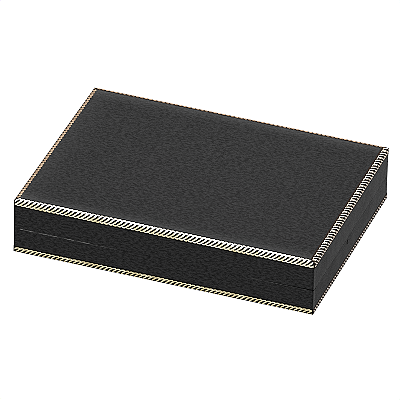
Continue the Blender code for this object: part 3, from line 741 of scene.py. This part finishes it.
def make_base_cover():
    """The base's leatherette: up the walls, in over the rim and a little way under the floor."""
    low = BASE_BOTTOM + WRAP_INSET
    outer, inner = WRAP_INSET, WRAP_INSET + WRAP_THICK
    fold = arc((outer + EDGE_RADIUS, low + EDGE_RADIUS), EDGE_RADIUS, 3 * math.pi / 2, math.pi)
    rim = arc((outer + RIM_RADIUS, BASE_RIM - RIM_RADIUS), RIM_RADIUS, math.pi, math.pi / 2)
    turned_in = [
        (TURN_IN_INSET, BASE_RIM),
        (TURN_IN_INSET, BASE_RIM - WRAP_THICK),
        (inner, BASE_RIM - WRAP_THICK),
        (inner, low + WRAP_THICK),
        (UNDER_REACH, low + WRAP_THICK),
        (UNDER_REACH, low),
    ]
    bm = loft(cover_rings(fold + rim, turned_in), closed=True)
    cover = from_bmesh("base_leatherette", bm, LEATHERETTE)
    cut(cover, *hinge_cutters(-1, BASE_NOTCH))
    lean_front_rim(cover)
    place(cover, "base", "leatherette", "base_side_cover")


# Rope edging


@dataclass
class Wall:
    """A wall described as the front wall, which is then turned to its place.

    Hand is 1 where the strands lean as they do on the front, and -1 where they are mirrored.
    """

    name: str
    length: float
    across: float
    turn: float
    hand: int


@dataclass
class Edging:
    """The edging along one wall of the lid or the base.

    The head's and foot's shares are how thick the strands are on the flat face and on the wall.
    Hook is how far their ends hook towards their neighbours, where 1 is as STRAND_SHARES has it.
    Slip is how far the strands lie towards the tape's border on the flat face.
    """

    part: str
    wall: Wall
    tape: bpy.types.Material
    head_gold: bpy.types.Material
    foot_gold: bpy.types.Material
    head_share: float
    foot_share: float
    hook: float
    slip: float = 0.0

    def on_flat(self):
        """How much of the tape lies on the flat face of the lid or the base there."""
        low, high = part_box(f"{self.part}_rope_{self.wall.name}")
        return min(high.x - low.x, high.y - low.y)


FRONT = Wall("front", BOX_WIDTH, BOX_DEPTH, 0, 1)
RIGHT = Wall("right", BOX_DEPTH, BOX_WIDTH, math.pi / 2, -1)
BACK = Wall("back", BOX_WIDTH, BOX_DEPTH, math.pi, 1)
LEFT = Wall("left", BOX_DEPTH, BOX_WIDTH, -math.pi / 2, -1)

# Which tape and golds a wall has, on its flat face and on the wall, is painted light and shade: how that
# face takes the light
LID_EDGINGS = (
    Edging("lid", FRONT, BLACK_TAPE, PALE_GOLD, CREAM_GOLD, head_share=0.95, foot_share=0.80, hook=1.05),
    Edging("lid", RIGHT, BROWN_TAPE, SOFT_GOLD, TAN_GOLD, head_share=0.46, foot_share=0.66, hook=0.95),
    Edging("lid", BACK, BROWN_TAPE, ROSE_GOLD, TAN_GOLD, head_share=0.95, foot_share=0.70, hook=1.0),
    Edging(
        "lid", LEFT, BROWN_TAPE, ROSE_GOLD, TAN_GOLD,
        head_share=0.90, foot_share=0.60, hook=1.0, slip=LEFT_SLIP,
    ),
)
BASE_EDGINGS = (
    Edging("base", FRONT, BLACK_TAPE, DIM_GOLD, YELLOW_GOLD, head_share=0.6, foot_share=0.76, hook=1.3),
    Edging("base", RIGHT, BROWN_TAPE, DIM_GOLD, DIM_GOLD, head_share=0.5, foot_share=0.64, hook=0.6),
    Edging("base", BACK, BROWN_TAPE, DIM_GOLD, YELLOW_GOLD, head_share=0.6, foot_share=0.70, hook=1.0),
    Edging("base", LEFT, BROWN_TAPE, DIM_GOLD, YELLOW_GOLD, head_share=0.6, foot_share=0.70, hook=0.8),
)
BASE_WAIST_SHARE = 0.6

# The middle line of a strand, from its head on the flat face to its foot on the wall: how far it
# leans and hooks along the tape in pitches, where it is across the tape as a share of the tape's
# width, and its half width in pitches
STRAND_SHARES = (
    (0.12, 0.66, 0.165, 0.15),
    (0.12, 0.44, 0.140, 0.25),
    (0.12, 0.18, 0.145, 0.31),
    (0.11, 0.02, 0.190, 0.32),
    (0.06, 0.00, 0.290, 0.30),
    (-0.01, 0.00, 0.400, 0.28),
    (-0.10, 0.00, 0.500, 0.25),
    (-0.36, 0.00, 0.600, 0.225),
    (-0.64, 0.00, 0.700, 0.21),
    (-0.92, 0.00, 0.790, 0.205),
    (-1.08, -0.08, 0.855, 0.20),
    (-1.14, -0.28, 0.888, 0.19),
    (-1.14, -0.52, 0.875, 0.16),
    (-1.14, -0.70, 0.840, 0.09),
)
HEAD_SHARE = 0.35
FOOT_SHARE = 0.6
FOOT_RING = 12


def smooth_path(points, samples):
    """A Catmull-Rom curve through rows of values, evenly sampled."""
    rows = np.array(points)
    rows = np.vstack((2 * rows[0] - rows[1], rows, 2 * rows[-1] - rows[-2]))
    spans = len(points) - 1
    result = []
    for position in np.linspace(0, spans, samples):
        start = min(int(position), spans - 1)
        t = position - start
        a, b, c, d = rows[start : start + 4]
        bend = (2 * a - 5 * b + 4 * c - d) * t**2 + (3 * b - a - 3 * c + d) * t**3
        result.append(b + 0.5 * ((c - a) * t + bend))
    return np.array(result)


def strand_surface(edging, pitch, up):
    """Points of one strand as (along, across, height), in rings from its head to its foot."""
    leans, hooks, across_share, half_share = smooth_path(STRAND_SHARES, STRAND_SAMPLES).T
    along = up * edging.wall.hand * pitch * (leans + edging.hook * hooks)
    across = TAPE_WIDTH * across_share
    wall_share = np.clip((across_share - HEAD_SHARE) / (FOOT_SHARE - HEAD_SHARE), 0, 1)
    half = pitch * half_share
    half *= edging.head_share + (edging.foot_share - edging.head_share) * wall_share
    waist_share = 1 if up > 0 else BASE_WAIST_SHARE
    from_waist = np.abs(across_share - WAIST_SHARE) / WAIST_REACH_SHARE
    half *= waist_share + (1 - waist_share) * np.clip(from_waist, 0, 1)
    step_u, step_v = np.gradient(along), np.gradient(across)
    size = np.hypot(step_u, step_v)
    side_u, side_v = -step_v / size, step_u / size
    share = np.linspace(-1, 1, STRAND_RIBS)
    sample = np.arange(STRAND_SAMPLES)
    from_end = np.minimum(sample, sample[::-1]) / STRAND_END_STEPS
    rise = (STRAND_CREST - STRAND_ROOT) * np.minimum(1, from_end + STRAND_END_SHARE)
    height = STRAND_ROOT + np.outer(rise, (1 - share**2) ** STRAND_ROUNDNESS)
    u = along[:, None] + np.outer(side_u * half, share)
    v = across[:, None] - edging.slip + np.outer(side_v * half, share)
    return u, v, height


def fold_over(across, height, on_flat, edge, up):
    """(inset, z) of points on a tape folded over an edge. Up is 1 over the lid and -1 under the base."""
    flat = on_flat - EDGE_RADIUS
    angle = np.clip((across - flat) / EDGE_RADIUS, 0, math.pi / 2)
    before = np.minimum(across, flat)
    after = np.maximum(across - flat - EDGE_RADIUS * math.pi / 2, 0)
    inset = flat - before + EDGE_RADIUS - (EDGE_RADIUS + height) * np.sin(angle)
    drop = after + EDGE_RADIUS - (EDGE_RADIUS + height) * np.cos(angle)
    return inset, edge - up * drop


def strands_bmesh(edging, edge, up):
    """All strands along a wall, as closed lofts, in the front wall's place."""
    wall = edging.wall
    count = round(wall.length / STRAND_PITCH)
    pitch = wall.length / count
    u, v, height = strand_surface(edging, pitch, up)
    inset, z = fold_over(v, height, edging.on_flat(), edge, up)
    bm = bmesh.new()
    for index in range(-1, count + 2):
        x = u + (index + 0.5) * pitch - wall.length / 2
        points = np.stack((x, inset - wall.across / 2, z), -1)
        loops = [[bm.verts.new(point) for point in ring] for ring in points]
        for ring, (loop, after) in enumerate(zip(loops, loops[1:])):
            material = 1 if ring < FOOT_RING else 2
            for face in join_loops(bm, loop, after):
                face.material_index = material
        bm.faces.new(loops[0]).material_index = 1
        bm.faces.new(loops[-1]).material_index = 2
    return bm


def mitre(bm, wall, slopes, gap):
    """Cuts the ends a gap short of the neighbours, and closes what is cut open."""
    for side, slope in zip((-1, 1), slopes):
        corner = (side * (wall.length / 2 - gap), -wall.across / 2, 0)
        geometry = bm.verts[:] + bm.edges[:] + bm.faces[:]
        bmesh.ops.bisect_plane(
            bm, geom=geometry, plane_co=corner, plane_no=(side, slope, 0), clear_outer=True
        )
        rims = [edge for edge in bm.edges if edge.is_boundary]
        bmesh.ops.holes_fill(bm, edges=rims)


def tape_bmesh(edging, edge, up):
    """The tape itself, a little wider than its strands."""
    wall, on_flat = edging.wall, edging.on_flat()
    flat = on_flat - EDGE_RADIUS
    bends = np.linspace(flat, flat + EDGE_RADIUS * math.pi / 2, ARC_STEPS + 1)
    across = np.concatenate(([-TAPE_MARGIN], bends, [TAPE_WIDTH - edging.slip + TAPE_MARGIN]))
    outline = []
    for height, order in ((TAPE_FACE, 1), (TAPE_BACK, -1)):
        inset, z = fold_over(across[::order], height, on_flat, edge, up)
        outline += [(i - wall.across / 2, level) for i, level in zip(inset, z)]
    return loft([[(x, y, z) for y, z in outline] for x in (-wall.length, wall.length)])


def make_edgings(edgings, edge, up):
    for index, edging in enumerate(edgings):
        wall = edging.wall
        neighbours = (edgings[index - 1], edgings[(index + 1) % len(edgings)])
        slopes = [other.on_flat() / edging.on_flat() for other in neighbours]
        strands = strands_bmesh(edging, edge, up)
        mitre(strands, wall, slopes, STRAND_END_GAP)
        strands_mesh = mesh_of("strands", strands)
        bm = tape_bmesh(edging, edge, up)
        mitre(bm, wall, slopes, MITRE_GAP)
        bmesh.ops.recalc_face_normals(bm, faces=bm.faces)
        bm.from_mesh(strands_mesh)
        bmesh.ops.rotate(bm, verts=bm.verts, matrix=Matrix.Rotation(wall.turn, 3, "Z"))
        name = f"{edging.part}_edging_{wall.name}"
        finishes = (edging.tape, edging.head_gold, edging.foot_gold)
        piece = from_bmesh(name, bm, *finishes, degrees=EDGING_SHARP_ANGLE)
        place(piece, edging.part, "gold_rope", f"{edging.part}_rope_{wall.name}")


# Camera, light and floor

CAMERA_AZIMUTH = math.radians(19.075)
CAMERA_ELEVATION = math.radians(32.599)
CAMERA_ROLL = math.radians(1.281)
CAMERA_DISTANCE = 4.1334
CAMERA_AIM = Vector((-0.0012, 0, 0.0170))
LENS_MM = 638.1
SENSOR_MM = 36

# Each light's azimuth and elevation in degrees, distance and size in metres, and power in watts
OVERHEAD_LIGHT = (174, 80, 1.5, 0.9, 21)
BACK_LIGHT = (199, 33, 1.8, 1.1, 4.2)
FRONT_LIGHT = (4, 22, 1.8, 0.8, 8.5)
PIXEL_FILTER = 1.0
DISPLAY_GAMMA = 2.2
SHARPENING = 0.3
WORLD_STRENGTH = 0.7
FLOOR_GLOW = 1.0
FLOOR_HALF_SIZE = 6.0
FLOOR_GAP = 0.2 * MM

# Keeps the diagonal between the floor's two triangles from under the box
FLOOR_SHIFT = 0.5


def direction(azimuth, elevation):
    """From the box towards that azimuth and elevation. Azimuth 0 is in front of the box."""
    flat = math.cos(elevation)
    return Vector((math.sin(azimuth) * flat, -math.cos(azimuth) * flat, math.sin(elevation)))


def make_camera():
    data = bpy.data.cameras.new("camera")
    data.lens = LENS_MM
    data.sensor_width = SENSOR_MM
    camera = link("camera", data)
    back = direction(CAMERA_AZIMUTH, CAMERA_ELEVATION)
    camera.location = CAMERA_AIM + back * CAMERA_DISTANCE
    turn = (-back).to_track_quat("-Z", "Y").to_matrix() @ Matrix.Rotation(CAMERA_ROLL, 3, "Z")
    camera.rotation_euler = turn.to_euler()
    bpy.context.scene.camera = camera


def area_light(name, azimuth, elevation, distance, size, power):
    data = bpy.data.lights.new(name, "AREA")
    data.shape = "DISK"
    data.size = size
    data.energy = power
    light = link(name, data)
    towards = direction(math.radians(azimuth), math.radians(elevation))
    light.location = towards * distance
    light.rotation_euler = (-towards).to_track_quat("-Z", "Y").to_euler()


def make_world():
    world = bpy.data.worlds.new("studio")
    world.use_nodes = True
    background = world.node_tree.nodes["Background"]
    background.inputs["Color"].default_value = (1.0, 1.0, 1.0, 1)
    background.inputs["Strength"].default_value = WORLD_STRENGTH
    bpy.context.scene.world = world


def make_floor():
    """A plain white floor, lit from within so that shadows stay faint, and clear from below."""
    bm = bmesh.new()
    bmesh.ops.create_grid(bm, x_segments=1, y_segments=1, size=FLOOR_HALF_SIZE)
    finish = Finish(
        "floor",
        Base_Color=(0.04, 0.04, 0.04),
        Roughness=0.9,
        Specular_IOR_Level=0.0,
        Emission_Color=(1, 1, 1),
        Emission_Strength=FLOOR_GLOW,
    )
    mix = finish.node("MixShader")
    below = finish.node("NewGeometry").outputs["Backfacing"]
    finish.wire(below, mix.inputs["Fac"])
    finish.wire(finish.shader.outputs["BSDF"], mix.inputs[1])
    finish.wire(finish.node("BsdfTransparent").outputs["BSDF"], mix.inputs[2])
    finish.wire(mix.outputs["Shader"], finish.nodes["Material Output"].inputs["Surface"])
    floor = from_bmesh("floor", bm, finish.material)
    floor.location = (FLOOR_SHIFT, 0, -FLOOR_GAP)


def sharpen_picture():
    """Sharpens the picture as the photograph is sharpened, on display values."""
    scene = bpy.context.scene
    scene.cycles.filter_width = PIXEL_FILTER
    scene.use_nodes = True
    nodes, links = scene.node_tree.nodes, scene.node_tree.links
    nodes.clear()
    source = nodes.new("CompositorNodeRLayers").outputs["Image"]
    steps = (("Gamma", 1 / DISPLAY_GAMMA), ("Filter", SHARPENING), ("Gamma", DISPLAY_GAMMA))
    for node_type, value in steps:
        node = nodes.new(f"CompositorNode{node_type}")
        if node_type == "Filter":
            node.filter_type = "SHARPEN_DIAMOND"
            node.inputs["Fac"].default_value = value
        else:
            node.inputs["Gamma"].default_value = value
        links.new(source, node.inputs["Image"])
        source = node.outputs["Image"]
    links.new(source, nodes.new("CompositorNodeComposite").inputs["Image"])


def make_studio():
    make_world()
    make_floor()
    area_light("overhead", *OVERHEAD_LIGHT)
    area_light("back", *BACK_LIGHT)
    area_light("front", *FRONT_LIGHT)
    bpy.context.scene.view_settings.view_transform = "Standard"
    sharpen_picture()


# Pads and cushion


@dataclass
class Pad:
    """A crowned pad on the seat of a node.

    Crown is how much higher its middle is, roll how far its rounded border drops, and draw_in how
    far its sides are drawn in at their middle. Up is 1 where it faces up, and -1 under the lid.
    """

    node: str
    crown: float
    roll: float
    draw_in: float
    up: int

    def mesh(self, columns, rows, depth=0):
        """A closed form that lies depth inside its surface: flat back, face and sides."""
        low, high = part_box(self.node)
        half_x, half_y, tall = (high.x - low.x) / 2, (high.y - low.y) / 2, high.z - low.z
        s, t = np.meshgrid(even_shares(columns), even_shares(rows))
        x = s * (half_x - depth - self.draw_in * (1 - t**2))
        y = t * (half_y - depth - self.draw_in * (1 - s**2))
        crown_share = (1 - s**2) * (1 - t**2)
        roll_share = np.sqrt((1 - s**ROLL_POWER) * (1 - t**ROLL_POWER))
        height = tall - depth - self.crown * (1 - crown_share) - self.roll * (1 - roll_share)
        seat = low.z if self.up > 0 else high.z
        bm = bmesh.new()
        grids = []
        for level in (np.zeros_like(height), height):
            points = np.stack((x, self.up * y, seat + self.up * level), -1)
            grids.append([[bm.verts.new(point) for point in row] for row in points])
        for grid in grids:
            for row, after in zip(grid, grid[1:]):
                for i in range(columns):
                    bm.faces.new((row[i], row[i + 1], after[i + 1], after[i]))
        join_loops(bm, *(border_of(grid) for grid in grids))
        return bm


NECKLACE_PAD = Pad("pad_velvet", PAD_CROWN, PAD_ROLL, PAD_DRAW_IN, up=1)
LID_CUSHION = Pad("lid_cushion_satin", CUSHION_CROWN, CUSHION_ROLL, CUSHION_DRAW_IN, up=-1)


def even_shares(count):
    """Shares from -1 to 1 that lie closer together towards the edges."""
    return np.sin(math.pi / 2 * np.linspace(-1, 1, count + 1))


def border_of(grid):
    """The outermost loop of a grid of vertices, in order."""
    right = [row[-1] for row in grid[1:]]
    left = [row[0] for row in grid[1:-1]]
    return grid[0] + right + grid[-1][-2::-1] + left[::-1]


def make_velvet_pad():
    """The necklace pad, sunk a little round each stud."""
    bm = NECKLACE_PAD.mesh(PAD_COLUMNS, PAD_ROWS)
    low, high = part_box("pad_velvet")
    middle = (low.z + high.z) / 2
    for label in ("left", "right"):
        stud_low, stud_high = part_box(f"pad_stud_{label}")
        stud = (stud_low + stud_high) / 2
        for vert in bm.verts:
            away = math.hypot(vert.co.x - stud.x, vert.co.y - stud.y) / DIMPLE_RADIUS
            if away < 1 and vert.co.z > middle:
                vert.co.z -= STUD_DIMPLE * (1 - away**2) ** 2
    pad = from_bmesh("necklace_pad_velvet", bm, VELVET, degrees=VELVET_SHARP_ANGLE)
    place(pad, "base", "black_velvet", "pad_velvet", "pad_foam")


def settle_as_cloth(obj, seat):
    """Lets a stuffed form settle as cloth that is held along its flat back."""
    held = obj.vertex_groups.new(name="held")
    back = [vert.index for vert in obj.data.vertices if abs(vert.co.z - seat) < EDGE_RADIUS]
    held.add(back, 1, "REPLACE")
    before = np.array([vert.co for vert in obj.data.vertices])
    cloth = obj.modifiers.new("cloth", "CLOTH")
    settings = cloth.settings
    settings.vertex_group_mass = held.name
    settings.use_pressure = True
    settings.uniform_pressure_force = CLOTH_PRESSURE
    settings.shrink_min = CLOTH_SHRINK_SHARE
    settings.bending_stiffness = CLOTH_BENDING
    settings.mass = CLOTH_MASS
    settings.effector_weights.gravity = 0
    cloth.collision_settings.use_collision = False
    cloth.point_cache.frame_end = CLOTH_FRAMES
    scene = bpy.context.scene
    for frame_number in range(1, CLOTH_FRAMES + 1):
        scene.frame_set(frame_number)
    apply_modifiers(obj)
    scene.frame_set(1)
    after = np.array([vert.co for vert in obj.data.vertices])
    moved = (after - before) * (SIDE_GIVE_SHARE, SIDE_GIVE_SHARE, 1)
    far = np.maximum(np.linalg.norm(moved, axis=1, keepdims=True) / PUFF_LIMIT, 1)
    obj.data.vertices.foreach_set("co", (before + moved / far).ravel())
    obj.data.update()


def make_satin_cushion():
    """The lid's cushion, settled as cloth."""
    low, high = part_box("lid_cushion_satin")
    columns, rows = round((high.x - low.x) / CLOTH_STEP), round((high.y - low.y) / CLOTH_STEP)
    bm = LID_CUSHION.mesh(columns, rows, CLOTH_START)
    cushion = from_bmesh("lid_cushion_cloth", bm, SATIN, degrees=SATIN_SHARP_ANGLE)
    settle_as_cloth(cushion, high.z)
    smooth = cushion.modifiers.new("smooth", "SUBSURF")
    smooth.levels = smooth.render_levels = 1
    apply_modifiers(cushion)
    shade(cushion.data, SATIN_SHARP_ANGLE)
    place(cushion, "lid", "white_satin", "lid_cushion_satin", "lid_cushion_wadding")


# Linings


def make_lining(name, node, body, slot, material, side):
    """A cloth-covered card round the inside of a part, rounded along its free edge.

    Side is 1 where the free edge is at the top.
    """
    low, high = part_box(node)
    free, hidden = (high.z, low.z) if side > 0 else (low.z, high.z)
    half = LINING_THICK / 2
    section = [(LINING_FACE, hidden)]
    for inset, rise in arc((LINING_FACE - half, 0), half, 0, math.pi):
        section.append((inset, free + side * (rise - half)))
    section.append((LINING_FACE - LINING_THICK, hidden))
    rings = [box_ring(inset, height) for inset, height in section]
    lining = from_bmesh(name, loft(rings, closed=True), material)
    cut(lining, *hinge_cutters(-side, LEAF_OPENING))
    place(lining, body, slot, node)


# Ribbon and straps


def flat_ring(middle, reach, out, section_shares):
    """A ring round a flat piece: across one face and back across the other.

    The section has shares of the piece's half width and half thickness.
    """
    across = [Vector((share * reach, 0, 0)) for share, thick_share in section_shares]
    rise = [out * thick_share for share, thick_share in section_shares]
    upper = [middle + x + up for x, up in zip(across, rise)]
    lower = [middle + x - up for x, up in zip(across, rise)]
    return upper + lower[::-1]


def make_ribbon():
    """A grosgrain tab that comes up in front of the pad and lies over its edge."""
    low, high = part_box("pull_ribbon")
    pad_low, pad_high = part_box("pad_velvet")
    front = low.y + RIBBON_THICK / 2
    end_share = 1 - RIBBON_REACH / ((pad_high.y - pad_low.y) / 2)
    path = [(front, low.z)]
    for step in range(RIBBON_STEPS + 1):
        share = 1 - (1 - end_share) * (step / RIBBON_STEPS) ** 2
        crown = NECKLACE_PAD.crown * share**2
        roll = NECKLACE_PAD.roll * (1 - math.sqrt(1 - share**ROLL_POWER))
        path.append((share * front, pad_high.z - crown - roll + RIBBON_LIFT))
    section_shares = [
        (share, 1 - abs(share) ** RIBBON_POWER * RIBBON_THINNING_SHARE) for share in RIBBON_ACROSS_SHARES
    ]
    rings = []
    for index, (y, z) in enumerate(path):
        before, after = path[max(index - 1, 0)], path[min(index + 1, len(path) - 1)]
        along = Vector((0, after[0] - before[0], after[1] - before[1])).normalized()
        out = Vector((0, -along.z, along.y)) * RIBBON_THICK / 2
        rings.append(flat_ring(Vector((0, y, z)), high.x, out, section_shares))
    ribbon = from_bmesh("pull_ribbon_grosgrain", loft(rings), RIBBON, degrees=RIBBON_SHARP_ANGLE)
    place(ribbon, "base", "black_ribbon", "pull_ribbon")


def make_strap(label):
    """A velvet strap from its fold on the pad, up and over the stud, with a rounded tip."""
    node = f"strap_{label}"
    low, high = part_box(node)
    middle = (low.x + high.x) / 2
    half_width = (high.x - low.x) / 2
    fold_y, tip_y = high.y - STRAP_THICK / 2, low.y
    low_level, high_level = low.z + STRAP_THICK / 2, high.z - STRAP_THICK / 2
    section_shares = [
        (share, math.sqrt(max(1 - abs(share) ** STRAP_POWER, STRAP_BORDER_SHARE)))
        for share in STRAP_ACROSS_SHARES
    ]
    rings = []
    for share in np.linspace(0, 1, STRAP_RINGS):
        y = high.y + (tip_y - high.y) * (1 - math.cos(math.pi * share)) / 2
        climb = min(max((fold_y - STRAP_FLAT - y) / STRAP_SLOPE, 0), 1)
        z = low_level + (high_level - low_level) * climb * climb * (3 - 2 * climb)
        from_tip, from_fold = y - tip_y, high.y - y
        narrow = STRAP_TIP - math.sqrt(max(STRAP_TIP**2 - max(STRAP_TIP - from_tip, 0) ** 2, 0))
        reach = max(half_width - narrow, STRAP_TIP_HALF_WIDTH)
        end = min(from_tip, from_fold) / (STRAP_THICK / 2)
        half = STRAP_THICK / 2 * math.sqrt(max(1 - max(1 - end, 0) ** 2, STRAP_END_SHARE))
        rings.append(flat_ring(Vector((middle, y, z)), reach, Vector((0, 0, half)), section_shares))
    strap = from_bmesh(f"{node}_velvet", loft(rings), VELVET, degrees=VELVET_SHARP_ANGLE)
    place(strap, node, "black_velvet", node)


# The interior and the hardware


def finish_cad(material, *nodes, bevel=0.0):
    """Gives CAD nodes that keep their shape a better material, and softens their edges."""
    for node in nodes:
        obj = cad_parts[node]
        obj.data.materials.clear()
        obj.data.materials.append(material)
        if bevel:
            modifier = obj.modifiers.new("soft_edges", "BEVEL")
            modifier.width = bevel
            modifier.segments = 2
            modifier.limit_method = "ANGLE"


def finish_hardware():
    finish_cad(PLASTIC, "base_shell", "lid_shell")
    finish_cad(PAPER, "underside_sheet")
    finish_cad(BOARD, "pad_board", "lid_cushion_board")
    for label in ("left", "right"):
        finish_cad(BRASS, f"hinge_base_leaf_{label}", f"hinge_lid_leaf_{label}", bevel=LEAF_BEVEL)
        finish_cad(STEEL, f"hinge_pin_{label}", bevel=PIN_BEVEL)
        finish_cad(STEEL, f"hinge_spring_{label}", bevel=SPRING_BEVEL)
        finish_cad(BRASS, f"strap_cap_{label}", f"pad_stud_{label}", f"hinge_spring_rivet_{label}")
        for end in ("a", "b"):
            finish_cad(BRASS, f"hinge_base_rivet_{label}_{end}", f"hinge_lid_rivet_{label}_{end}")


def main():
    make_camera()
    make_studio()
    make_lid_cover()
    make_base_cover()
    make_edgings(LID_EDGINGS, LID_TOP, 1)
    make_edgings(BASE_EDGINGS, BASE_BOTTOM, -1)
    make_velvet_pad()
    make_satin_cushion()
    make_lining("base_lining_velvet", "base_lining", "base", "black_velvet", VELVET, 1)
    make_lining("lid_lining_satin", "lid_lining", "lid", "white_satin", SATIN, -1)
    make_ribbon()
    make_strap("left")
    make_strap("right")
    finish_hardware()


main()
